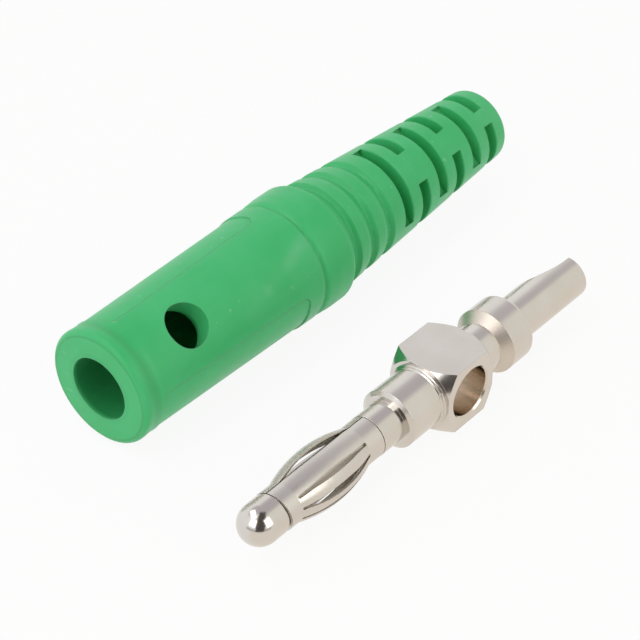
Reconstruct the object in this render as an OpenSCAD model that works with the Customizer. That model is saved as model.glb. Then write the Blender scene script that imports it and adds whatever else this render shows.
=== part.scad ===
// Four millimetre banana plug with its soft insulating sleeve drawn off and laid beside it.
// Millimetres, +Z up, both pieces lie along X with the nose of the plug towards -X.

/* [Layout] */
// distance between the axis of the plug and the axis of the sleeve
axis_spacing = 16.45; // [14:0.05:24]
// how far the sleeve's window lies behind the plug's cross hole
window_lag = 12.9; // [0:0.05:16]
// angle of the sleeve's window above the horizontal
window_facing = 50; // [0:1:90]

/* [Nose and core pin] */
// diameter of the round nose head
head_d = 3.25; // [3:0.05:3.6]
// length of the straight part of the head behind its ball end
head_len = 1.3; // [0.8:0.05:2]
// radial room between the core pin and the cage
cage_room = 0.05; // [0.02:0.01:0.09]
// end play of the cage between the head and the neck collar
cage_play = 0.44; // [0.42:0.01:0.5]
// length of the neck collar behind the cage
neck_len = 2.3; // [1.5:0.05:3]

/* [Spring cage] */
// outside diameter of the two bands
band_d = 3.3; // [3.1:0.02:3.5]
// diameter over the bulged leaves
bulge_d = 4.56; // [4.2:0.02:4.8]
// diameter over the wide leaf beside the seam, which bulges less
wide_leaf_d = 3.56; // [3.44:0.02:4]
// thickness of the sheet
sheet = 0.2; // [0.15:0.01:0.25]
// length of the cage
cage_len = 10.1; // [9:0.1:12]
// length of the bulge
bulge_len = 7.5; // [6:0.1:8]
// length of the back band
back_band = 1.6; // [1.2:0.05:2.2]
// width of a leaf slit at its ends
slit = 0.24; // [0.18:0.01:0.3]
// width of a near leaf slit at the middle of the bulge
slit_mid = 0.4; // [0.25:0.01:0.55]
// width of a far leaf slit at the middle of the bulge
far_slit_mid = 0.5; // [0.3:0.01:0.55]
// number of leaf slits on each side of the seam
slits_per_side = 4; // [3:1:4]
// angle from the seam to the first slit on its near side
first_slit = 64.5; // [55:0.5:70]
// angle from one near slit to the next
slit_step = 32; // [28:0.5:34]
// angle from the seam to the first slit on its far side
far_first_slit = 76; // [70:0.5:80]
// angle from one far slit to the next
far_slit_step = 30; // [28:0.5:31]
// how far the front edge of the cage runs out of square
front_skew = 0.36; // [0.05:0.01:0.37]
// direction of the seam above the horizontal
seam_facing = 108; // [0:1:359]
// width of the seam in the bands
seam = 0.12; // [0.08:0.01:0.2]
// how far the wide leaf is cut back from the seam at the middle
seam_cut_low = 0.2; // [0.1:0.05:1]
// how far the leaf across the seam is cut back at the middle
seam_cut_high = 0.22; // [0.1:0.02:0.5]
// how far the leaf below the second near slit is cut back at the middle
side_cut_low = 0.5; // [0.2:0.05:0.75]
// how far the leaf above the second near slit is cut back at the middle
side_cut_high = 0.14; // [0.1:0.02:0.3]

/* [Plug shank] */
// diameter of the front barrel
barrel_d = 4.8; // [4.5:0.05:5]
// length of the front barrel
barrel_len = 3.75; // [3:0.05:5]
// width of the bevel round the barrel's front face
barrel_bevel = 0.32; // [0.2:0.02:0.4]
// length of that bevel along the barrel
barrel_bevel_len = 0.2; // [0.1:0.02:0.3]
// diameter of the fine ring where the barrel meets the block
ring_d = 5; // [4.9:0.02:5.1]
// length of the fine ring
ring_len = 0.12; // [0.1:0.01:0.2]
// length of the fine ring's sloping front
ring_slope = 0.08; // [0.05:0.01:0.12]
// diameter of the second fine ring, next to the block
ring2_d = 5.2; // [5.1:0.02:5.28]
// width of the square block across its flats
block_w = 5.44; // [5.3:0.02:5.6]
// length of the square block
block_len = 5.4; // [5:0.1:6]
// length of the block's corner edges
corner_len = 3.56; // [3:0.02:4]
// diameter of the block's round end faces
block_end_d = 5.7; // [5.6:0.02:5.9]
// diameter of the cross hole for a second plug
socket_d = 4; // [3.9:0.02:4.1]
// chamfer at the mouths of the cross hole
socket_chamfer = 0.15; // [0.05:0.01:0.3]
// diameter of the waist behind the block
waist_d = 4; // [3.6:0.05:4.4]
// length of the waist
waist_len = 2.08; // [1.5:0.02:3]
// diameter of the rear collar
collar_d = 5.38; // [5.1:0.02:5.4]
// length of the collar's conical front
collar_cone = 0.74; // [0.5:0.02:1]
// length of the collar's straight part
collar_len = 2.2; // [1.5:0.05:3]
// rounding of the collar's back edge
collar_round = 0.35; // [0.3:0.05:0.7]

/* [Solder tail] */
// diameter of the solder tail
tail_d = 3.6; // [3.2:0.05:4]
// length of the tail behind the collar
tail_len = 8.35; // [6:0.05:10]
// diameter of the solder cup
cup_d = 2.4; // [2:0.05:2.6]
// depth of the solder cup
cup_depth = 5.2; // [4:0.1:6]
// radius of the cutter that scoops the tail open
scoop_r = 8.7; // [7:0.1:10]
// length of the half-round lip left at the end of the scoop
scoop_lip = 0.35; // [0.2:0.05:0.6]

/* [Sleeve body] */
// length of the sleeve
sleeve_len = 45.45; // [43:0.05:48]
// distance of the window from the front face
window_setback = 6.3; // [5.5:0.05:7]
// diameter of the window
window_d = 3.56; // [3.4:0.02:4]
// diameter of the front face inside its rounded rim
face_d = 8.5; // [8:0.1:8.6]
// rounding of the front rim
rim_round = 0.46; // [0.3:0.02:0.6]
// how far behind the front face the rim's shallow neck lies
neck_back = 1.35; // [1.2:0.05:1.6]
// depth of the rim's shallow neck
neck_depth = 0.06; // [0.02:0.01:0.1]
// length of the finger body up to the ring line
body_len = 19.85; // [18:0.05:21]
// diameter of the finger body at the ring line
body_back_d = 10.02; // [9.6:0.02:10.1]
// width of the ring line
line_w = 0.9; // [0.4:0.02:1]
// depth of the ring line
line_depth = 0.26; // [0.08:0.01:0.3]
// diameter of the shoulder
shoulder_d = 10.2; // [10:0.05:10.6]
// position of the back of the shoulder
shoulder_end = 23.35; // [22.5:0.05:24]
// rounding of the back of the shoulder
shoulder_round = 0.5; // [0.3:0.05:0.6]
// depth of the bare panels on the two sides
panel_depth = 0.1; // [0.05:0.01:0.15]
// distance of the bare panels from the front face
panel_front = 1.8; // [1.5:0.05:1.9]
// length of a bare panel
panel_len = 16.1; // [14:0.1:17.6]
// width of a bare panel
panel_w = 7; // [6:0.1:7.4]
// rounding of a bare panel's corners
panel_corner = 0.8; // [0.5:0.05:1.5]

/* [Bend relief] */
// diameter of the bend relief at the shoulder
relief_front_d = 9.22; // [8.8:0.02:9.4]
// diameter of the bend relief at its tail end
relief_tail_d = 6.42; // [6:0.02:7]
// position of the first ring groove
groove_first = 24; // [23.9:0.05:24.3]
// pitch of the ring grooves
groove_pitch = 2.22; // [2:0.02:2.4]
// width of a ring groove
groove_w = 1.3; // [0.9:0.02:1.5]
// depth of a ring groove
groove_depth = 0.44; // [0.3:0.02:0.6]
// where a ring groove is deepest, from -1 at its front edge to 1 at its back edge
groove_low = 0.5; // [0:0.1:0.6]
// position of the first relief slot
slot_first = 31.2; // [30.9:0.05:31.5]
// pitch of the relief slots
slot_pitch = 2.45; // [2.3:0.05:2.5]
// width of a relief slot
slot_w = 1.05; // [0.8:0.05:1.2]
// bevel along the outer edges of a relief slot
slot_bevel = 0.12; // [0.05:0.01:0.15]
// half thickness of the wall that a window slot leaves across the sleeve
slot_floor = 1.6; // [1:0.05:1.8]
// thickness of the webs beside a window slot
slot_web = 0.58; // [0.4:0.02:0.8]
// thickness of the spine at the first side slot
spine_first = 2.84; // [2.4:0.02:3]
// loss of spine thickness from one side slot to the next
spine_step = 0.7; // [0.5:0.02:0.75]
// diameter of the inner tube that the slots stop at
tube_d = 4.6; // [4.3:0.05:5]
// diameter of the cable bore
cable_d = 3.5; // [3:0.05:3.8]
// rounding of the tail end
tail_round = 0.46; // [0.3:0.02:0.6]

/* [Fit of the sleeve on the plug] */
// radial room round the barrel in the sleeve's mouth
mouth_room = 0.17; // [0.1:0.01:0.2]
// room beside each flat of the block in its pocket
pocket_room = 0.09; // [0.05:0.01:0.12]
// radial room round the rear collar
collar_room = 0.16; // [0.1:0.01:0.2]
// radial room round the solder tail
tail_room = 0.2; // [0.1:0.01:0.3]

/* [Hidden] */
$fn = 96;
e = 0.01;
head_r = head_d / 2;
band_r = band_d / 2;
core_r = band_r - sheet - cage_room;
neck_r = band_r + 0.03;
barrel_front = -block_len / 2 - barrel_len;
ring_front = -block_len / 2 - 2 * ring_len - ring_slope;
neck_front = barrel_front - neck_len;
cage_back = neck_front - 0.04;
cage_front = cage_back - cage_len;
head_back = neck_front - cage_len - cage_play;
ball_x = head_back - head_len;
nose_x = ball_x - head_r;
bulge_back = cage_back - back_band;
bulge_x = bulge_back - bulge_len / 2;
slit_len = bulge_len - 0.1;
collar_front = block_len / 2 + waist_len;
collar_edge = collar_front + collar_cone;
collar_back = collar_edge + collar_len + collar_round;
tail_end = collar_back + tail_len;
corner_r = block_w / sqrt(2);
cone_slope = 2 * (corner_r - block_end_d / 2) / (block_len - corner_len);
shoulder_r = shoulder_d / 2;
rim_r = face_d / 2 + rim_round;
pocket_front = window_setback - block_len / 2 - pocket_room;
pocket_back = window_setback + block_len / 2 + pocket_room;
collar_stop = window_setback + collar_back + 0.6;
tail_stop = window_setback + tail_end + 0.6;
plug_x = -(nose_x + sleeve_len - window_setback - window_lag) / 2;
plug_y = -(axis_spacing + shoulder_r - block_w / 2) / 2;
sleeve_x = plug_x - window_lag - window_setback;
sleeve_y = plug_y + axis_spacing;

// radius of the bend relief at a distance from the sleeve's front face
function relief_r(x) = relief_front_d / 2
    + (relief_tail_d - relief_front_d) / 2 * (x - groove_first) / (sleeve_len - groove_first);

// radius of the finger body at a distance from the sleeve's front face
function body_r(x) = rim_r + (body_back_d / 2 - rim_r) * (x - rim_round) / (body_len - rim_round);

// how far the ring line has gone down, from 0 at its edges to 1 at its bottom
function line_fall(t) = pow(1 - abs(t), 1.5);

// the same for a ring groove: a slow fall behind each ring, a steep rise to the next
function groove_fall(t) = t < groove_low
    ? pow((1 + t) / (1 + groove_low), 1.4)
    : pow((1 - t) / (1 - groove_low), 0.8);

// points of a round edge about a centre, as distance along the axis and radius
function round_edge(x, r, radius, from, to, steps) =
    [for (i = [0:steps]) let (a = from + (to - from) * i / steps) [x + radius * cos(a), r + radius * sin(a)]];

// a turned shape about the X axis, drawn with radius across and distance along
module turned() {
    rotate([0, 90, 0]) rotate_extrude() children();
}

// the same from a list of distances along the axis and radii
module turned_points(points) {
    turned() polygon([for (p = points) [p[1], p[0]]]);
}

// a straight round rod along X
module rod(x, length, d) {
    translate([x, 0, 0]) rotate([0, 90, 0]) cylinder(h = length, d = d);
}

// a cone along X
module taper(x, length, d_front, d_back) {
    translate([x, 0, 0]) rotate([0, 90, 0]) cylinder(h = length, d1 = d_front, d2 = d_back);
}

// turns +Z to a direction above the horizontal on the side of -Y
module facing(angle) {
    rotate([90 - angle, 0, 0]) children();
}

// outline of one leaf slit: narrow with round ends, wider over the bulge
module slit_outline(mid) {
    arc = (slit_len * slit_len + mid * mid) / (4 * mid);
    square([slit_len - slit, slit], center = true);
    for (side = [-1, 1]) translate([side * (slit_len - slit) / 2, 0]) circle(d = slit, $fn = 24);
    intersection() {
        translate([0, arc - mid / 2]) circle(r = arc);
        translate([0, mid / 2 - arc]) circle(r = arc);
    }
}

// outline of an opening between two leaves that are cut back from each other
module leaf_opening(low, high) {
    low_arc = (slit_len * slit_len / 4 + low * low) / (2 * low);
    high_arc = (slit_len * slit_len / 4 + high * high) / (2 * high);
    intersection() {
        translate([0, low_arc - low]) circle(r = low_arc);
        translate([0, high - high_arc]) circle(r = high_arc);
    }
}

// sheet that bulges to a diameter between the two bands
module bulge(d) {
    rise = (d - band_d) / 2;
    arc = (bulge_len * bulge_len / 4 + rise * rise) / (2 * rise);
    turned() intersection() {
        difference() {
            translate([d / 2 - arc, bulge_x]) circle(r = arc, $fn = 360);
            translate([d / 2 - arc, bulge_x]) circle(r = arc - sheet, $fn = 360);
        }
        translate([band_r - sheet, bulge_x - bulge_len / 2]) square([d / 2, bulge_len]);
    }
}

// the wedge of the cage that the wide leaf takes up, from the seam to the first near slit
module wide_leaf_wedge() {
    half = band_d * tan(first_slit / 2);
    facing(seam_facing - first_slit / 2)
        translate([cage_front, 0, 0]) rotate([90, 0, 90]) linear_extrude(height = cage_len)
        polygon([[0, 0], [half, band_d], [-half, band_d]]);
}

// rolled sheet that bulges between two bands, less over the wide leaf
module cage_shell() {
    turned() {
        translate([band_r - sheet, cage_front - front_skew])
            square([sheet, bulge_x - bulge_len / 2 - cage_front + front_skew + e]);
        translate([band_r - sheet, bulge_back - e]) square([sheet, cage_back - bulge_back + e]);
    }
    difference() {
        bulge(bulge_d);
        wide_leaf_wedge();
    }
    intersection() {
        bulge(wide_leaf_d);
        wide_leaf_wedge();
    }
}

module spring_cage() {
    color([0.78, 0.75, 0.70])
    translate([plug_x, plug_y, block_w / 2])
    difference() {
        cage_shell();
        for (k = [0:slits_per_side - 1]) {
            facing(seam_facing - first_slit - slit_step * k)
                translate([bulge_x, 0, 0.9]) linear_extrude(height = 2) slit_outline(slit_mid);
            facing(seam_facing + far_first_slit + far_slit_step * k)
                translate([bulge_x, 0, 0.9]) linear_extrude(height = 2) slit_outline(far_slit_mid);
        }
        facing(seam_facing + 20)
            translate([cage_front - front_skew / 2, 0, 0])
            rotate([0, -atan(front_skew / band_d), 0])
            translate([-2, -band_d, -band_d]) cube([2, 2 * band_d, 2 * band_d]);
        facing(seam_facing - first_slit - slit_step)
            translate([bulge_x, 0, 0.9]) linear_extrude(height = 2) leaf_opening(side_cut_low, side_cut_high);
        facing(seam_facing) {
            translate([bulge_x, 0, 0.9]) linear_extrude(height = 2) leaf_opening(seam_cut_low, seam_cut_high);
            translate([cage_front - 1, -seam / 2, 0.9]) cube([cage_len + 2, seam, 2]);
        }
    }
}

// turned outline of the plug without its round nose and block
module shank_outline() {
    polygon([for (p = [
        [ball_x, 0], [ball_x, head_r], [head_back, head_r], [head_back, core_r],
        [neck_front, core_r], [neck_front, neck_r], [barrel_front, neck_r],
        [barrel_front, barrel_d / 2 - barrel_bevel], [barrel_front + barrel_bevel_len, barrel_d / 2],
        [ring_front - ring_slope, barrel_d / 2], [ring_front, ring_d / 2],
        [ring_front + ring_len, ring_d / 2], [ring_front + ring_len + ring_slope, ring2_d / 2],
        [-block_len / 2 + e, ring2_d / 2], [block_len / 2 - e, waist_d / 2],
        [collar_front, waist_d / 2], [collar_edge, collar_d / 2],
        [collar_edge + collar_len, collar_d / 2], [collar_edge + collar_len, tail_d / 2],
        [tail_end - 0.15, tail_d / 2], [tail_end, tail_d / 2 - 0.15], [tail_end, 0],
    ]) [p[1], p[0]]]);
    intersection() {
        translate([0, ball_x]) circle(r = head_r);
        translate([0, nose_x]) square([head_r, head_r]);
    }
    intersection() {
        translate([collar_d / 2 - collar_round, collar_edge + collar_len]) circle(r = collar_round);
        translate([collar_d / 2 - collar_round, collar_edge + collar_len]) square(collar_round);
    }
    translate([1, collar_edge + collar_len]) square([collar_d / 2 - collar_round - 1, collar_round]);
}

// square block with its corners turned off at both ends
module block() {
    over = 0.3;
    intersection() {
        translate([-block_len / 2, -block_w / 2, -block_w / 2]) cube([block_len, block_w, block_w]);
        turned_points([
            [-block_len / 2, 0], [-block_len / 2, block_end_d / 2],
            [-corner_len / 2 + over, corner_r + over * cone_slope],
            [corner_len / 2 - over, corner_r + over * cone_slope],
            [block_len / 2, block_end_d / 2], [block_len / 2, 0],
        ]);
    }
}

module plug_body() {
    color([0.82, 0.79, 0.75])
    translate([plug_x, plug_y, block_w / 2])
    difference() {
        union() {
            turned() shank_outline();
            block();
        }
        rotate([90, 0, 0]) cylinder(h = block_w + 2, d = socket_d, center = true);
        for (side = [-90, 90])
            rotate([side, 0, 0])
            translate([0, 0, block_w / 2 - socket_chamfer])
            cylinder(h = 2 * socket_chamfer, d1 = socket_d, d2 = socket_d + 4 * socket_chamfer);
        rod(tail_end - cup_depth, cup_depth + 1, cup_d);
        translate([tail_end - scoop_lip, scoop_r, 0]) cylinder(h = tail_d + 2, r = scoop_r, center = true);
        translate([tail_end - scoop_lip, 0, -tail_d]) cube([scoop_lip + 1, tail_d, 2 * tail_d]);
    }
}

// outside of the sleeve
module sleeve_outline() {
    turned_points(concat(
        [[0, 0]],
        round_edge(rim_round, face_d / 2, rim_round, 180, 90, 6),
        [for (t = [-1:0.5:1]) let (x = neck_back + 0.7 * t) [x, body_r(x) - neck_depth * cos(90 * t)]],
        [for (t = [-1:0.5:1]) let (x = body_len + t * line_w / 2) [x, body_r(x) - line_depth * line_fall(t)]],
        [[body_len + 1.5, shoulder_r]],
        round_edge(shoulder_end - shoulder_round, shoulder_r - shoulder_round, shoulder_round, 90, 10, 6),
        [for (i = [0:2], t = [-1:0.2:1])
            let (x = groove_first + groove_pitch * i + t * groove_w / 2)
            if (i > 0 || t >= 0) [x, relief_r(x) - groove_depth * groove_fall(t)]],
        round_edge(sleeve_len - tail_round, relief_tail_d / 2 - tail_round, tail_round, 86, 0, 6),
        [[sleeve_len, 0]]
    ));
}

// ring-shaped room between the inner tube and the outside at a slot, with bevelled outer edges
module slot_ring(x) {
    r = relief_r(x);
    side = slot_w / 2;
    turned_points([
        [x - side, tube_d / 2], [x - side, r - slot_bevel], [x - side - 2 * slot_bevel, r + slot_bevel],
        [x + side + 2 * slot_bevel, r + slot_bevel], [x + side, r - slot_bevel], [x + side, tube_d / 2],
    ]);
}

// slots of the bend relief, turn about open at the window's side and across it
module relief_slots() {
    for (i = [0:2]) {
        x_window = slot_first + 2 * slot_pitch * i;
        x_side = x_window + slot_pitch;
        half = relief_r(x_window) - slot_web;
        intersection() {
            slot_ring(x_window);
            for (side = [0, 180])
                rotate([side, 0, 0])
                translate([x_window - slot_w, -half, slot_floor])
                cube([2 * slot_w, 2 * half, shoulder_d]);
        }
        spine = spine_first - spine_step * i;
        difference() {
            slot_ring(x_side);
            translate([x_side - slot_w, -spine / 2, -shoulder_d]) cube([2 * slot_w, spine, 2 * shoulder_d]);
        }
    }
}

// the inside follows the plug that it takes, then narrows to the cable
module sleeve_inside() {
    pocket = block_w + 2 * pocket_room;
    collar_hole = collar_d + 2 * collar_room;
    tail_hole = tail_d + 2 * tail_room;
    rod(-1, pocket_front + 1 + e, barrel_d + 2 * mouth_room);
    translate([pocket_front, -pocket / 2, -pocket / 2]) cube([pocket_back - pocket_front, pocket, pocket]);
    rod(pocket_back - e, collar_stop - pocket_back + 2 * e, collar_hole);
    taper(collar_stop, 1, collar_hole, tail_hole);
    rod(collar_stop + 1 - e, tail_stop - collar_stop - 1 + 2 * e, tail_hole);
    taper(tail_stop, 0.4, tail_hole, cable_d);
    rod(tail_stop + 0.4 - e, sleeve_len - tail_stop + 1, cable_d);
}

// outline of a bare panel with round corners
module panel_outline() {
    square([panel_len - 2 * panel_corner, panel_w], center = true);
    square([panel_len, panel_w - 2 * panel_corner], center = true);
    for (x = [-1, 1], y = [-1, 1])
        translate([x * (panel_len / 2 - panel_corner), y * (panel_w / 2 - panel_corner)])
        circle(r = panel_corner, $fn = 24);
}

// shallow bare panels on the two sides across the window
module side_panels() {
    difference() {
        for (side = [-90, 90])
            rotate([side, 0, 0])
            translate([panel_front + panel_len / 2, 0, 2])
            linear_extrude(height = shoulder_d) panel_outline();
        turned_points([
            [0, 0], [0, body_r(0) - panel_depth],
            [body_len, body_r(body_len) - panel_depth], [body_len, 0],
        ]);
    }
}

module insulating_sleeve() {
    color([0.30, 0.72, 0.46])
    translate([sleeve_x, sleeve_y, shoulder_r])
    facing(window_facing)
    difference() {
        sleeve_outline();
        sleeve_inside();
        translate([window_setback, 0, 1]) cylinder(h = shoulder_d, d = window_d);
        side_panels();
        relief_slots();
    }
}

insulating_sleeve();
plug_body();
spring_cage();
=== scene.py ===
"""Looks of a banana plug and its drawn-off insulating sleeve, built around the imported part."""

import math

import bpy
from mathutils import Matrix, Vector


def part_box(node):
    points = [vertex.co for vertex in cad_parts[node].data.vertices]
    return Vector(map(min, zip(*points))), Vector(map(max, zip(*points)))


bl_info = {
    "name": "Banana plug looks",
    "version": (1, 0, 0),
    "blender": (4, 5, 0),
    "location": "View3D > Sidebar > Plug",
    "description": "Dresses the sleeve, the plug and its spring cage, and sets the stage",
    "category": "Object",
}

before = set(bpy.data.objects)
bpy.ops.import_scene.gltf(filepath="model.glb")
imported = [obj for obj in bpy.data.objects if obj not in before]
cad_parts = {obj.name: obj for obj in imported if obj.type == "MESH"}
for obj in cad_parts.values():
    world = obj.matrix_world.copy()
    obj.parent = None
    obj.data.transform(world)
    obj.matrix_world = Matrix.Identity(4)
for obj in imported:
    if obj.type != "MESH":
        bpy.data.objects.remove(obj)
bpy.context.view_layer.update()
MM = 0.001
WHITE = (1.0, 1.0, 1.0, 1.0)

# Places on the plug. A pair is a span: where a finish sets in, and where it is full. The shares are how far
# into its band the cone's finish is full, how worn the cone is, and how metallic the covered pin is.
HOLE_FROM_NOSE = 22.215 * MM
HOLE_WALL = (2.14 * MM, 2.04 * MM)
NOSE_POLISH = (3.2 * MM, 2.6 * MM)
CONE_FROM_HOLE = 5.1 * MM
CONE_HALF = 0.62 * MM
CONE_FULL = 0.3
CONE_WEAR = 0.6
PIN_COVER = (0.3 * MM, 0.6 * MM)
PIN_METAL = 0.2

# Places on the sleeve, from the centre of its front face: its inside, which gets painted shade, the painted
# shade in the neck behind the rim and round the front face, and the ends and half width of the painted
# highlight streak on its body.
BORE_WALL = (2.9 * MM, 3.4 * MM)
BORE_DEPTH = (-0.1 * MM, 0.45 * MM)
BORE_END = (20.0 * MM, 21.0 * MM)
NECK_DEPTH = 1.2 * MM
NECK_HALF = 0.65 * MM
NECK_SHADE = 0.36
FACE_DEPTH = (0.35 * MM, 0.15 * MM)
FACE_RADIUS = 4.3 * MM
FACE_LINE_HALF = 0.16 * MM
FACE_SHADE = 0.5
STREAK_START = Vector((19.2, -3.1, 3.88)) * MM
STREAK_END = Vector((14.2, -4.1, 2.8)) * MM
STREAK_HALF = 0.95 * MM

# The sleeve as the metal mirrors it: it pales with the distance, and in front of its window.
GLINT_REACH = (12.2 * MM, 13.8 * MM)
GLINT_FRONT = (9.0 * MM, 12.5 * MM)
GLINT_FRONT_SHARE = 0.85
GLINT_PALE = (0.97, 0.95, 0.94, 1.0)

# Scales of the noise for blotches and for grain.
VINYL_FINE = (260.0, 5200.0)
VINYL_WIDE = (75.0, 1300.0)
NICKEL_FINE = (420.0, 9000.0)

# How noise or a turned edge becomes a mask: from a low and a high value, to a low and a high strength.
BLOOM = (0.36, 0.68, 0.0, 1.0)
WARMTH = (0.35, 0.70, 0.0, 1.0)
RUBBED = (0.52, 0.72, 0.0, 0.22)
SPECKS = (0.70, 0.76, 0.0, 0.70)
# This mask breaks up the painted highlight streak.
STREAK_PATCHES = (0.38, 0.62, 0.12, 0.50)
# The edge mask paints highlights along the rounded edges.
EDGE_HIGHLIGHT = (0.99, 0.90, 0.0, 0.60)

# Span of the blotches that changes the roughness, and how far it goes down and up.
HAZE = (0.3, 0.7)
VINYL_HAZE = (-0.05, 0.08)
NICKEL_HAZE = (-0.02, 0.03)
INSIDE_ROUGHNESS = 0.85

# Strength and depth of the grain.
VINYL_GRAIN = (0.12, 0.02 * MM)
NICKEL_GRAIN = (0.05, 0.004 * MM)
BEVEL_SAMPLES = 6

# The floor: its size, its paint, the white that the eye and the metal see, and the painted warm reflection
# that the metal sees on one side.
FLOOR_SIZE = 1.6
FLOOR_PAINT = (0.9, 0.9, 0.9, 1.0)
FLOOR_WHITE_SHARE = 0.91
FLOOR_WARM_SHEEN = (0.93, 0.87, 0.79, 1.0)
FLOOR_WARM_SHEEN_SPAN = (2 * MM, -2 * MM)

# Directions in the room: to the view's right, away from the camera, and up.
TO_RIGHT = (1.0, 0.0, 0.0)
TO_LEFT = (-1.0, 0.0, 0.0)
TO_BACK = (0.0, 1.0, 0.0)
TO_FRONT = (0.0, -1.0, 0.0)
TO_TOP = (0.0, 0.0, 1.0)
TO_BOTTOM = (0.0, 0.0, -1.0)
GAP_RIGHT = (1.0, -0.305, 0.0)
GAP_LEFT = (-1.0, -0.39, 0.56)

# Parts of the white room beside its plain walls: the warm side, the far ceiling, the low wall and
# the dark gap behind the camera. Each has a colour and its sides, a direction and a span each.
ROOM = (
    ((0.90, 0.88, 0.82), ((TO_RIGHT, -0.1, 0.7),)),
    ((0.58, 0.55, 0.585), ((TO_TOP, 0.57, 0.78), (TO_LEFT, -0.74, -0.5), (TO_BACK, -0.1, 0.1))),
    ((0.45, 0.43, 0.41), ((TO_TOP, -0.02, 0.04), (TO_BOTTOM, -0.2, -0.12), (TO_FRONT, 0.4, 0.55))),
    ((0.09, 0.08, 0.075), ((GAP_RIGHT, -0.03, 0.03), (GAP_LEFT, -0.03, 0.03), (TO_FRONT, -0.3, -0.1))),
)

# Soft boxes: angle from straight away to the right, height angle, width and height in degrees, colour.
BOXES = (
    (128, 32, 30, 40, (1.0, 0.95, 0.87)),
    (216, 36, 30, 32, (1.0, 0.97, 0.93)),
    (266, 63, 46, 22, (1.0, 1.0, 1.0)),
)
BOX_REACH = 300 * MM


class VinylFinish(bpy.types.PropertyGroup):
    """Finish of the soft green moulding"""

    green: bpy.props.FloatVectorProperty(
        name="Green", description="Colour of the vinyl",
        default=(0.052, 0.515, 0.172, 1.0), min=0.0, max=1.0, size=4, subtype="COLOR",
    )
    bloom: bpy.props.FloatVectorProperty(
        name="Bloom", description="Paler colour where handling has dulled the skin",
        default=(0.070, 0.545, 0.202, 1.0), min=0.0, max=1.0, size=4, subtype="COLOR",
    )
    # Paler green for rubbed blotches and specks of dust, and also for the painted highlights along the
    # edges and in one streak.
    scuff_and_highlight: bpy.props.FloatVectorProperty(
        name="Scuff", description="Pale colour of rubbed edges and specks of dust",
        default=(0.165, 0.585, 0.290, 1.0), min=0.0, max=1.0, size=4, subtype="COLOR",
    )
    # The rim colour is painted shade: it darkens the neck behind the front rim and the line round the front
    # face.
    rim_shade: bpy.props.FloatVectorProperty(
        name="Grime", description="Dark colour that gathers round the front rim",
        default=(0.050, 0.330, 0.105, 1.0), min=0.0, max=1.0, size=4, subtype="COLOR",
    )
    # The inside colour is painted shade: it darkens the inside of the sleeve's body.
    inside: bpy.props.FloatVectorProperty(
        name="Inside", description="Dull colour of the unlit inside of the moulding",
        default=(0.018, 0.280, 0.082, 1.0), min=0.0, max=1.0, size=4, subtype="COLOR",
    )
    gloss: bpy.props.FloatProperty(
        name="Roughness", description="Roughness of the moulded skin",
        default=0.36, min=0.05, max=1.0, subtype="FACTOR",
    )
    edge: bpy.props.FloatProperty(
        name="Edge rounding", description="Rounding of the moulded edges",
        default=0.13 * MM, min=0.0, unit="LENGTH",
    )


class NickelFinish(bpy.types.PropertyGroup):
    """Finish of the plated brass"""

    plate: bpy.props.FloatVectorProperty(
        name="Plate", description="Colour of the nickel",
        default=(0.690, 0.660, 0.622, 1.0), min=0.0, max=1.0, size=4, subtype="COLOR",
    )
    warm: bpy.props.FloatVectorProperty(
        name="Warm plate", description="Warmer colour where the plate is thin",
        default=(0.665, 0.632, 0.585, 1.0), min=0.0, max=1.0, size=4, subtype="COLOR",
    )
    bare: bpy.props.FloatVectorProperty(
        name="Bare brass", description="Colour in the cross hole and on the cone, where the plate is worn",
        default=(0.685, 0.600, 0.515, 1.0), min=0.0, max=1.0, size=4, subtype="COLOR",
    )
    pin: bpy.props.FloatVectorProperty(
        name="Dull pin", description="Colour of the matt pin inside the cage",
        default=(0.860, 0.800, 0.710, 1.0), min=0.0, max=1.0, size=4, subtype="COLOR",
    )
    gloss: bpy.props.FloatProperty(
        name="Roughness", description="Roughness of the plated surface",
        default=0.17, min=0.02, max=1.0, subtype="FACTOR",
    )
    turned: bpy.props.FloatProperty(
        name="Turned roughness", description="Roughness of the collar's turned cone",
        default=0.45, min=0.02, max=1.0, subtype="FACTOR",
    )
    polish: bpy.props.FloatProperty(
        name="Polish", description="Roughness of the polished nose",
        default=0.15, min=0.02, max=1.0, subtype="FACTOR",
    )
    spring: bpy.props.FloatProperty(
        name="Spring roughness", description="Roughness of the spring sheet",
        default=0.30, min=0.02, max=1.0, subtype="FACTOR",
    )
    edge: bpy.props.FloatProperty(
        name="Edge rounding", description="Rounding of the plated edges",
        default=0.05 * MM, min=0.0, unit="LENGTH",
    )
    sheet_edge: bpy.props.FloatProperty(
        name="Sheet edge", description="Rounding of the spring sheet's edges",
        default=0.025 * MM, min=0.0, unit="LENGTH",
    )


class StageSetup(bpy.types.PropertyGroup):
    """Camera and light of the photograph"""

    distance: bpy.props.FloatProperty(
        name="Distance", description="From the camera to its aim on the floor",
        default=178 * MM, unit="LENGTH",
    )
    elevation: bpy.props.FloatProperty(
        name="Elevation", description="Height angle of the camera",
        default=math.radians(37.928), subtype="ANGLE",
    )
    turn: bpy.props.FloatProperty(
        name="Turn", description="Angle from the view's right to the plug's axis",
        default=math.radians(50.269), subtype="ANGLE",
    )
    lens: bpy.props.FloatProperty(
        name="Lens", description="Focal length on a 36 mm sensor",
        default=127.6, subtype="DISTANCE_CAMERA",
    )
    aim: bpy.props.FloatVectorProperty(
        name="Aim", description="Aim on the floor, from the cross hole",
        default=(2.23 * MM, 13.555 * MM), size=2, unit="LENGTH",
    )
    room: bpy.props.FloatProperty(
        name="Room light", description="Strength of the white walls",
        default=0.85, min=0.0, subtype="FACTOR",
    )
    boxes: bpy.props.FloatProperty(
        name="Soft boxes", description="Brightness of the soft boxes, where 1 is white",
        default=1.7, min=0.0, subtype="FACTOR",
    )


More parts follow.
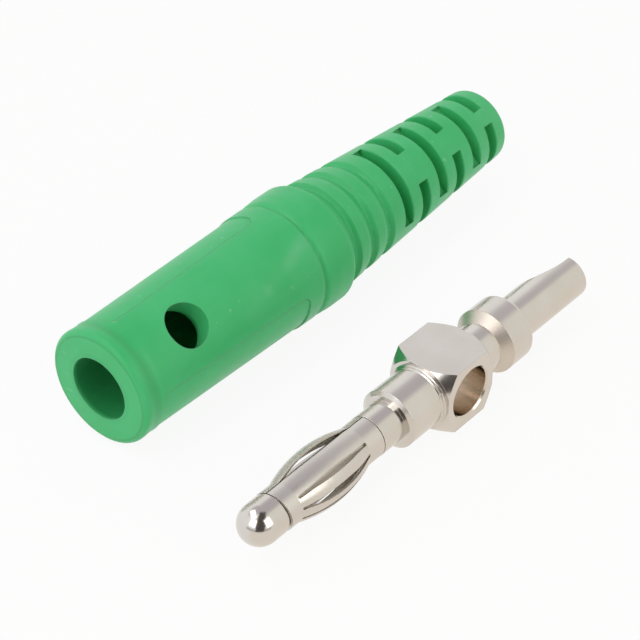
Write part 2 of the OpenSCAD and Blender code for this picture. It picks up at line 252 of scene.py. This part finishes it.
def settings(name):
    """The current values of one property group."""
    return getattr(bpy.context.scene, name)


def plug_place():
    """Centre of the cross hole, on the plug's axis."""
    low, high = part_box("plug_body")
    return Vector((low.x + HOLE_FROM_NOSE, (low.y + high.y) / 2, (low.z + high.z) / 2))


def sleeve_place():
    """Centre of the sleeve's front face."""
    low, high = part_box("insulating_sleeve")
    return Vector((low.x, (low.y + high.y) / 2, (low.z + high.z) / 2))


def new_material(name):
    """A material with a plain shader."""
    material = bpy.data.materials.new(name)
    material.use_nodes = True
    nodes = material.node_tree.nodes
    nodes.clear()
    out = nodes.new("ShaderNodeOutputMaterial")
    shader = nodes.new("ShaderNodeBsdfPrincipled")
    material.node_tree.links.new(shader.outputs["BSDF"], out.inputs["Surface"])
    return material, nodes, material.node_tree.links, shader


def cloud_group():
    """Soft blotches and fine grain on Object coordinates, shared by the vinyl and the nickel."""
    found = bpy.data.node_groups.get("surface_clouds")
    if found:
        return found
    group = bpy.data.node_groups.new("surface_clouds", "ShaderNodeTree")
    for socket in ("Blotch Scale", "Grain Scale"):
        group.interface.new_socket(socket, in_out="INPUT", socket_type="NodeSocketFloat")
    for socket in ("Blotch", "Grain"):
        group.interface.new_socket(socket, in_out="OUTPUT", socket_type="NodeSocketFloat")
    nodes, links = group.nodes, group.links
    given = nodes.new("NodeGroupInput")
    result = nodes.new("NodeGroupOutput")
    place = nodes.new("ShaderNodeTexCoord")
    for socket, detail in (("Blotch", 3.0), ("Grain", 2.0)):
        noise = nodes.new("ShaderNodeTexNoise")
        noise.inputs["Detail"].default_value = detail
        links.new(place.outputs["Object"], noise.inputs["Vector"])
        links.new(given.outputs[f"{socket} Scale"], noise.inputs["Scale"])
        links.new(noise.outputs["Fac"], result.inputs[socket])
    return group


def add_clouds(nodes, blotch_scale, grain_scale):
    """Places the shared clouds with scales of their own."""
    clouds = nodes.new("ShaderNodeGroup")
    clouds.node_tree = cloud_group()
    clouds.inputs["Blotch Scale"].default_value = blotch_scale
    clouds.inputs["Grain Scale"].default_value = grain_scale
    return clouds


def feed(links, source, socket):
    """Gives an input a link or a plain value."""
    if isinstance(source, bpy.types.NodeSocket):
        links.new(source, socket)
    else:
        socket.default_value = source


def spread(nodes, links, value, low, high, to_low, to_high):
    """Maps a value from one range to another, held at its ends."""
    node = nodes.new("ShaderNodeMapRange")
    for socket, number in zip(("From Min", "From Max", "To Min", "To Max"), (low, high, to_low, to_high)):
        node.inputs[socket].default_value = number
    links.new(value, node.inputs["Value"])
    return node.outputs["Result"]


def smooth_span(nodes, links, value, low, high):
    """Zero before a span, one after it."""
    result = spread(nodes, links, value, low, high, 0.0, 1.0)
    result.node.interpolation_type = "SMOOTHSTEP"
    return result


def span_from(start, span):
    """A span counted from a place."""
    return [start + end for end in span]


def combine(nodes, links, operation, first, second):
    """One operation on two values, each a link or a plain number."""
    node = nodes.new("ShaderNodeMath")
    node.operation = operation
    feed(links, first, node.inputs[0])
    feed(links, second, node.inputs[1])
    return node.outputs[0]


def vector_math(nodes, links, operation, first, second):
    """One operation on two vectors, each a link or plain numbers."""
    node = nodes.new("ShaderNodeVectorMath")
    node.operation = operation
    feed(links, first, node.inputs[0])
    feed(links, second, node.inputs[1])
    return node


def two_tone(nodes, links, factor, first, second):
    """Goes from one colour to another by a mask."""
    mix = nodes.new("ShaderNodeMix")
    mix.data_type = "RGBA"
    feed(links, first, mix.inputs["A"])
    feed(links, second, mix.inputs["B"])
    links.new(factor, mix.inputs["Factor"])
    return mix.outputs["Result"]


def blend_value(nodes, links, factor, first, second):
    """Goes from one value to another by a mask."""
    mix = nodes.new("ShaderNodeMix")
    feed(links, first, mix.inputs["A"])
    feed(links, second, mix.inputs["B"])
    links.new(factor, mix.inputs["Factor"])
    return mix.outputs["Result"]


def soft_edge(nodes, radius):
    """Normal with the edges rounded."""
    edge = nodes.new("ShaderNodeBevel")
    edge.samples = BEVEL_SAMPLES
    edge.inputs["Radius"].default_value = radius
    return edge.outputs["Normal"]


def add_grain(nodes, links, shader, clouds, edge, strength, depth):
    """Fine grain over the rounded edges."""
    bump = nodes.new("ShaderNodeBump")
    bump.inputs["Strength"].default_value = strength
    bump.inputs["Distance"].default_value = depth
    links.new(clouds.outputs["Grain"], bump.inputs["Height"])
    links.new(edge, bump.inputs["Normal"])
    links.new(bump.outputs["Normal"], shader.inputs["Normal"])


def from_place(nodes, links, place):
    """Object coordinates counted from a place."""
    found = nodes.new("ShaderNodeTexCoord")
    return vector_math(nodes, links, "SUBTRACT", found.outputs["Object"], place).outputs["Vector"]


def radius_about(nodes, links, vector, keep):
    """Distance from an axis; keep has ones for the two directions across it."""
    flat = vector_math(nodes, links, "MULTIPLY", vector, keep).outputs["Vector"]
    return vector_math(nodes, links, "DISTANCE", flat, (0.0, 0.0, 0.0)).outputs["Value"]


def along_axis(nodes, links):
    """Place along the plug and the sleeve."""
    place = nodes.new("ShaderNodeTexCoord")
    parts = nodes.new("ShaderNodeSeparateXYZ")
    links.new(place.outputs["Object"], parts.inputs["Vector"])
    return parts.outputs["X"]


def band(nodes, links, value, middle, half):
    """One at the middle of a band, falling to none at half its width."""
    offset = combine(nodes, links, "SUBTRACT", value, middle)
    away = combine(nodes, links, "ABSOLUTE", offset, 0.0)
    return smooth_span(nodes, links, away, half, 0.0)


def sleeve_places(nodes, links):
    """Depth behind the sleeve's front face, and distance from its axis."""
    vector = from_place(nodes, links, sleeve_place())
    parts = nodes.new("ShaderNodeSeparateXYZ")
    links.new(vector, parts.inputs["Vector"])
    return parts.outputs["X"], radius_about(nodes, links, vector, (0.0, 1.0, 1.0))


def bore_shade_mask(nodes, links):
    """Painted shade: one on the inside of the sleeve's body, where its colour is darkened."""
    depth, radius = sleeve_places(nodes, links)
    mask = smooth_span(nodes, links, depth, *BORE_DEPTH)
    mask = combine(nodes, links, "SUBTRACT", mask, smooth_span(nodes, links, radius, *BORE_WALL))
    return combine(nodes, links, "SUBTRACT", mask, smooth_span(nodes, links, depth, *BORE_END))


def rim_painted_shade(nodes, links):
    """Painted shade: grows in the shallow neck behind the front rim, and along the line round the front
    face.
    """
    depth, radius = sleeve_places(nodes, links)
    neck = combine(nodes, links, "MULTIPLY", band(nodes, links, depth, NECK_DEPTH, NECK_HALF), NECK_SHADE)
    line = band(nodes, links, radius, FACE_RADIUS, FACE_LINE_HALF)
    line = combine(nodes, links, "MULTIPLY", line, smooth_span(nodes, links, depth, *FACE_DEPTH))
    line = combine(nodes, links, "MULTIPLY", line, FACE_SHADE)
    return combine(nodes, links, "MAXIMUM", neck, line)


def streak(nodes, links, start, end, half):
    """Grows along a line between two places on the sleeve."""
    run = end - start
    vector = from_place(nodes, links, sleeve_place() + start)
    along = vector_math(nodes, links, "DOT_PRODUCT", vector, run.normalized()).outputs["Value"]
    held = spread(nodes, links, along, 0.0, run.length, 0.0, run.length)
    nearest = vector_math(nodes, links, "MULTIPLY", held, run.normalized()).outputs["Vector"]
    off = vector_math(nodes, links, "DISTANCE", vector, nearest).outputs["Value"]
    return smooth_span(nodes, links, off, half, 0.0)


def far_glint(nodes, links):
    """Grows for rays that reach the sleeve from metal, by their length and in front of the window."""
    path = nodes.new("ShaderNodeLightPath")
    far = smooth_span(nodes, links, path.outputs["Ray Length"], *GLINT_REACH)
    front = span_from(sleeve_place().x, GLINT_FRONT)
    near_front = spread(nodes, links, along_axis(nodes, links), *front, GLINT_FRONT_SHARE, 0.0)
    pale = combine(nodes, links, "MAXIMUM", far, near_front)
    return combine(nodes, links, "MULTIPLY", path.outputs["Is Glossy Ray"], pale)


def edge_highlight_mask(nodes, links, edge):
    """A painted highlight: grows along the edges that the rounding softens."""
    plain = nodes.new("ShaderNodeNewGeometry")
    turn = vector_math(nodes, links, "DOT_PRODUCT", plain.outputs["Normal"], edge).outputs["Value"]
    return spread(nodes, links, turn, *EDGE_HIGHLIGHT)


def vinyl_material():
    """Soft green vinyl with its wear and dust, painted highlights along its edges and in one streak,
    painted shade behind the rim and round the front face, and painted shade with a dull finish on its
    inside.
    """
    finish = settings("plug_vinyl")
    material, nodes, links, shader = new_material("green_vinyl_skin")
    fine = add_clouds(nodes, *VINYL_FINE)
    wide = add_clouds(nodes, *VINYL_WIDE)
    edge = soft_edge(nodes, finish.edge)
    shaded_bore = bore_shade_mask(nodes, links)

    # Paler marks: rubbed wear and dust, together with painted highlights along the edges and in one streak.
    streak_patches = spread(nodes, links, fine.outputs["Blotch"], *STREAK_PATCHES)
    wear_and_highlights = edge_highlight_mask(nodes, links, edge)
    for wear in (
        spread(nodes, links, wide.outputs["Blotch"], *RUBBED),
        spread(nodes, links, wide.outputs["Grain"], *SPECKS),
        # A painted highlight: a pale streak along the sleeve's body, broken up by noise.
        combine(nodes, links, "MULTIPLY", streak_patches, streak(nodes, links, STREAK_START, STREAK_END, STREAK_HALF)),
    ):
        wear_and_highlights = combine(nodes, links, "MAXIMUM", wear_and_highlights, wear)

    # The colours below add random bloom, wear and dust with painted highlights, painted shade at the rim
    # and in the bore, and a pale colour that only the metal's reflections show.
    colour = finish.green
    for mask, shade in (
        (spread(nodes, links, fine.outputs["Blotch"], *BLOOM), finish.bloom),
        (wear_and_highlights, finish.scuff_and_highlight),
        (rim_painted_shade(nodes, links), finish.rim_shade),
        (shaded_bore, finish.inside),
        (far_glint(nodes, links), GLINT_PALE),
    ):
        colour = two_tone(nodes, links, mask, colour, shade)
    links.new(colour, shader.inputs["Base Color"])

    rough = spread(nodes, links, fine.outputs["Blotch"], *HAZE, *span_from(finish.gloss, VINYL_HAZE))
    links.new(blend_value(nodes, links, shaded_bore, rough, INSIDE_ROUGHNESS), shader.inputs["Roughness"])
    add_grain(nodes, links, shader, fine, edge, *VINYL_GRAIN)
    shader.inputs["Specular IOR Level"].default_value = 0.3
    shader.inputs["Subsurface Weight"].default_value = 0.06
    shader.inputs["Subsurface Radius"].default_value = (0.2, 1.0, 0.4)
    shader.inputs["Subsurface Scale"].default_value = 0.5 * MM
    return material


def hole_mask(nodes, links):
    """One on the wall of the cross hole."""
    radius = radius_about(nodes, links, from_place(nodes, links, plug_place()), (1.0, 0.0, 1.0))
    return smooth_span(nodes, links, radius, *HOLE_WALL)


def pin_mask(nodes, links, along):
    """One on the part of the pin that the cage covers."""
    low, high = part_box("spring_cage")
    front = smooth_span(nodes, links, along, *span_from(low.x, PIN_COVER))
    rear = smooth_span(nodes, links, along, *(high.x - end for end in PIN_COVER))
    return combine(nodes, links, "MULTIPLY", front, rear)


def nickel_material(name, roughness, edge, pin=False):
    """Bright plate on brass; with pin, the part under the cage is matt."""
    finish = settings("plug_nickel")
    material, nodes, links, shader = new_material(name)
    clouds = add_clouds(nodes, *NICKEL_FINE)
    along = along_axis(nodes, links)
    nose = smooth_span(nodes, links, along, *span_from(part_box("plug_body")[0].x, NOSE_POLISH))
    cone = band(nodes, links, along, plug_place().x + CONE_FROM_HOLE, CONE_HALF)
    cone = spread(nodes, links, cone, 0.0, CONE_FULL, 0.0, 1.0)
    worn = combine(nodes, links, "MULTIPLY", cone, CONE_WEAR)
    worn = combine(nodes, links, "MAXIMUM", worn, hole_mask(nodes, links))

    tone = spread(nodes, links, clouds.outputs["Blotch"], *WARMTH)
    colour = two_tone(nodes, links, tone, finish.plate, finish.warm)
    colour = two_tone(nodes, links, worn, colour, finish.bare)
    shader.inputs["Metallic"].default_value = 1.0
    if pin:
        covered = pin_mask(nodes, links, along)
        colour = two_tone(nodes, links, covered, colour, finish.pin)
        links.new(spread(nodes, links, covered, 0.0, 1.0, 1.0, PIN_METAL), shader.inputs["Metallic"])
    links.new(colour, shader.inputs["Base Color"])

    rough = spread(nodes, links, clouds.outputs["Blotch"], *HAZE, *span_from(roughness, NICKEL_HAZE))
    rough = blend_value(nodes, links, nose, rough, finish.polish)
    rough = blend_value(nodes, links, cone, rough, finish.turned)
    links.new(rough, shader.inputs["Roughness"])
    add_grain(nodes, links, shader, clouds, soft_edge(nodes, edge), *NICKEL_GRAIN)
    return material


def dress(node, material):
    """Gives a CAD node its one material."""
    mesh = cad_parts[node].data
    mesh.materials.clear()
    mesh.materials.append(material)


class PLUG_OT_sleeve(bpy.types.Operator):
    """Gives the insulating sleeve its green vinyl skin"""

    bl_idname = "plug.sleeve"
    bl_label = "Insulating sleeve"

    def execute(self, context):
        dress("insulating_sleeve", vinyl_material())
        return {"FINISHED"}


class PLUG_OT_body(bpy.types.Operator):
    """Gives the turned plug its nickel plate"""

    bl_idname = "plug.body"
    bl_label = "Plug body"

    def execute(self, context):
        finish = settings("plug_nickel")
        dress("plug_body", nickel_material("bright_nickel", finish.gloss, finish.edge, pin=True))
        return {"FINISHED"}


class PLUG_OT_cage(bpy.types.Operator):
    """Gives the rolled spring cage its nickel plate"""

    bl_idname = "plug.cage"
    bl_label = "Spring cage"

    def execute(self, context):
        finish = settings("plug_nickel")
        dress("spring_cage", nickel_material("spring_nickel", finish.spring, finish.sheet_edge))
        return {"FINISHED"}


def seen_rays(nodes, links, path):
    """One for rays that show the background itself: from the camera, in metal or through glass."""
    seen = combine(nodes, links, "MAXIMUM", path.outputs["Is Camera Ray"], path.outputs["Is Glossy Ray"])
    return combine(nodes, links, "MAXIMUM", seen, path.outputs["Is Transmission Ray"])


def view_directions(setup):
    """Where the camera looks, and the view's right and straight away, for the plug lying along X."""
    away = Vector((math.sin(setup.turn), math.cos(setup.turn), 0.0))
    right = Vector((away.y, -away.x, 0.0))
    look = away * math.cos(setup.elevation) - Vector(TO_TOP) * math.sin(setup.elevation)
    return look, right, away


class PLUG_OT_stage(bpy.types.Operator):
    """Sets the white floor, the soft light and the camera of the photograph"""

    bl_idname = "plug.stage"
    bl_label = "Stage"

    def execute(self, context):
        setup = settings("plug_stage")
        scene = context.scene
        look, right, away = view_directions(setup)
        hole = plug_place()
        aim = Vector((hole.x + setup.aim[0], hole.y + setup.aim[1], 0.0))

        camera = bpy.data.objects.new("camera", bpy.data.cameras.new("camera"))
        camera.data.lens = setup.lens
        camera.data.sensor_width = 36.0
        camera.data.clip_start = 1 * MM
        camera.location = aim - look * setup.distance
        camera.rotation_euler = look.to_track_quat("-Z", "Y").to_euler()
        scene.collection.objects.link(camera)
        scene.camera = camera

        self.floor()
        self.world(scene, setup, right, away)
        for box in BOXES:
            self.soft_box(scene, setup, aim, right, away, *box)
        scene.view_settings.view_transform = "Standard"
        return {"FINISHED"}

    def floor(self):
        """A white floor that keeps a faint shadow."""
        bpy.ops.mesh.primitive_plane_add(size=FLOOR_SIZE)
        floor = bpy.context.object
        floor.name = "floor"
        material = bpy.data.materials.new("white_floor")
        material.use_nodes = True
        nodes, links = material.node_tree.nodes, material.node_tree.links
        nodes.clear()
        out = nodes.new("ShaderNodeOutputMaterial")
        paint = nodes.new("ShaderNodeBsdfDiffuse")
        paint.inputs["Color"].default_value = FLOOR_PAINT
        glow = nodes.new("ShaderNodeEmission")
        path = nodes.new("ShaderNodeLightPath")
        links.new(self.floor_sheen(nodes, links, path), glow.inputs["Color"])
        share = combine(nodes, links, "MULTIPLY", seen_rays(nodes, links, path), FLOOR_WHITE_SHARE)
        mix = nodes.new("ShaderNodeMixShader")
        links.new(share, mix.inputs["Fac"])
        links.new(paint.outputs["BSDF"], mix.inputs[1])
        links.new(glow.outputs["Emission"], mix.inputs[2])
        links.new(mix.outputs["Shader"], out.inputs["Surface"])
        floor.data.materials.append(material)

    def floor_sheen(self, nodes, links, path):
        """White to the eye, and in the metal a painted warm reflection on the side of the warm wall."""
        place = nodes.new("ShaderNodeTexCoord")
        parts = nodes.new("ShaderNodeSeparateXYZ")
        links.new(place.outputs["Object"], parts.inputs["Vector"])
        warm = smooth_span(nodes, links, parts.outputs["Y"], *span_from(plug_place().y, FLOOR_WARM_SHEEN_SPAN))
        warm = combine(nodes, links, "MULTIPLY", warm, path.outputs["Is Glossy Ray"])
        return two_tone(nodes, links, warm, WHITE, FLOOR_WARM_SHEEN)

    def world(self, scene, setup, right, away):
        """A white page to the eye, and a white room round the object."""
        world = bpy.data.worlds.new("white_room")
        world.use_nodes = True
        scene.world = world
        nodes, links = world.node_tree.nodes, world.node_tree.links
        nodes.clear()
        out = nodes.new("ShaderNodeOutputWorld")
        page = nodes.new("ShaderNodeBackground")
        page.inputs["Color"].default_value = WHITE
        room = nodes.new("ShaderNodeBackground")
        links.new(self.room_colour(nodes, links, right, away), room.inputs["Color"])
        path = nodes.new("ShaderNodeLightPath")
        strength = spread(nodes, links, path.outputs["Is Glossy Ray"], 0.0, 1.0, setup.room, 1.0)
        links.new(strength, room.inputs["Strength"])
        page_seen = combine(
            nodes, links, "MAXIMUM", path.outputs["Is Camera Ray"], path.outputs["Is Transmission Ray"],
        )
        mix = nodes.new("ShaderNodeMixShader")
        links.new(page_seen, mix.inputs["Fac"])
        links.new(room.outputs["Background"], mix.inputs[1])
        links.new(page.outputs["Background"], mix.inputs[2])
        links.new(mix.outputs["Shader"], out.inputs["Surface"])

    def room_colour(self, nodes, links, right, away):
        """The white walls with the parts of the room painted over them in turn."""
        place = nodes.new("ShaderNodeTexCoord")
        colour = WHITE
        for shade, sides in ROOM:
            mask = 1.0
            for (to_right, to_back, to_top), low, high in sides:
                facing = right * to_right + away * to_back + Vector(TO_TOP) * to_top
                side = vector_math(nodes, links, "DOT_PRODUCT", place.outputs["Generated"], facing)
                step = smooth_span(nodes, links, side.outputs["Value"], low, high)
                mask = combine(nodes, links, "MULTIPLY", mask, step)
            colour = two_tone(nodes, links, mask, colour, (*shade, 1.0))
        return colour

    def soft_box(self, scene, setup, aim, right, away, turn, rise, width, height, colour):
        """A lamp that faces the aim from a side of the room."""
        turn, rise = math.radians(turn), math.radians(rise)
        flat = away * math.cos(turn) + right * math.sin(turn)
        side = flat * math.cos(rise) + Vector(TO_TOP) * math.sin(rise)
        lamp = bpy.data.lights.new("soft_box", "AREA")
        lamp.shape = "RECTANGLE"
        lamp.color = colour
        lamp.size = 2 * BOX_REACH * math.tan(math.radians(width / 2))
        lamp.size_y = 2 * BOX_REACH * math.tan(math.radians(height / 2))
        lamp.energy = setup.boxes * math.pi * lamp.size * lamp.size_y
        box = bpy.data.objects.new("soft_box", lamp)
        box.location = aim + side * BOX_REACH
        box.rotation_euler = (-side).to_track_quat("-Z", "Y").to_euler()
        scene.collection.objects.link(box)


class PLUG_PT_panel(bpy.types.Panel):
    """Lists the steps that dress the plug"""

    bl_idname = "PLUG_PT_panel"
    bl_label = "Banana plug"
    bl_space_type = "VIEW_3D"
    bl_region_type = "UI"
    bl_category = "Plug"

    def draw(self, context):
        for step in STEPS:
            self.layout.operator(step.bl_idname)


STEPS = (PLUG_OT_sleeve, PLUG_OT_body, PLUG_OT_cage, PLUG_OT_stage)
GROUPS = (("plug_vinyl", VinylFinish), ("plug_nickel", NickelFinish), ("plug_stage", StageSetup))


def register():
    for name, group in GROUPS:
        bpy.utils.register_class(group)
        setattr(bpy.types.Scene, name, bpy.props.PointerProperty(type=group))
    for cls in STEPS + (PLUG_PT_panel,):
        bpy.utils.register_class(cls)


def unregister():
    for cls in reversed(STEPS + (PLUG_PT_panel,)):
        bpy.utils.unregister_class(cls)
    for name, group in reversed(GROUPS):
        delattr(bpy.types.Scene, name)
        bpy.utils.unregister_class(group)


def main():
    register()
    bpy.ops.plug.sleeve()
    bpy.ops.plug.body()
    bpy.ops.plug.cage()
    bpy.ops.plug.stage()


if __name__ == "__main__":
    main()
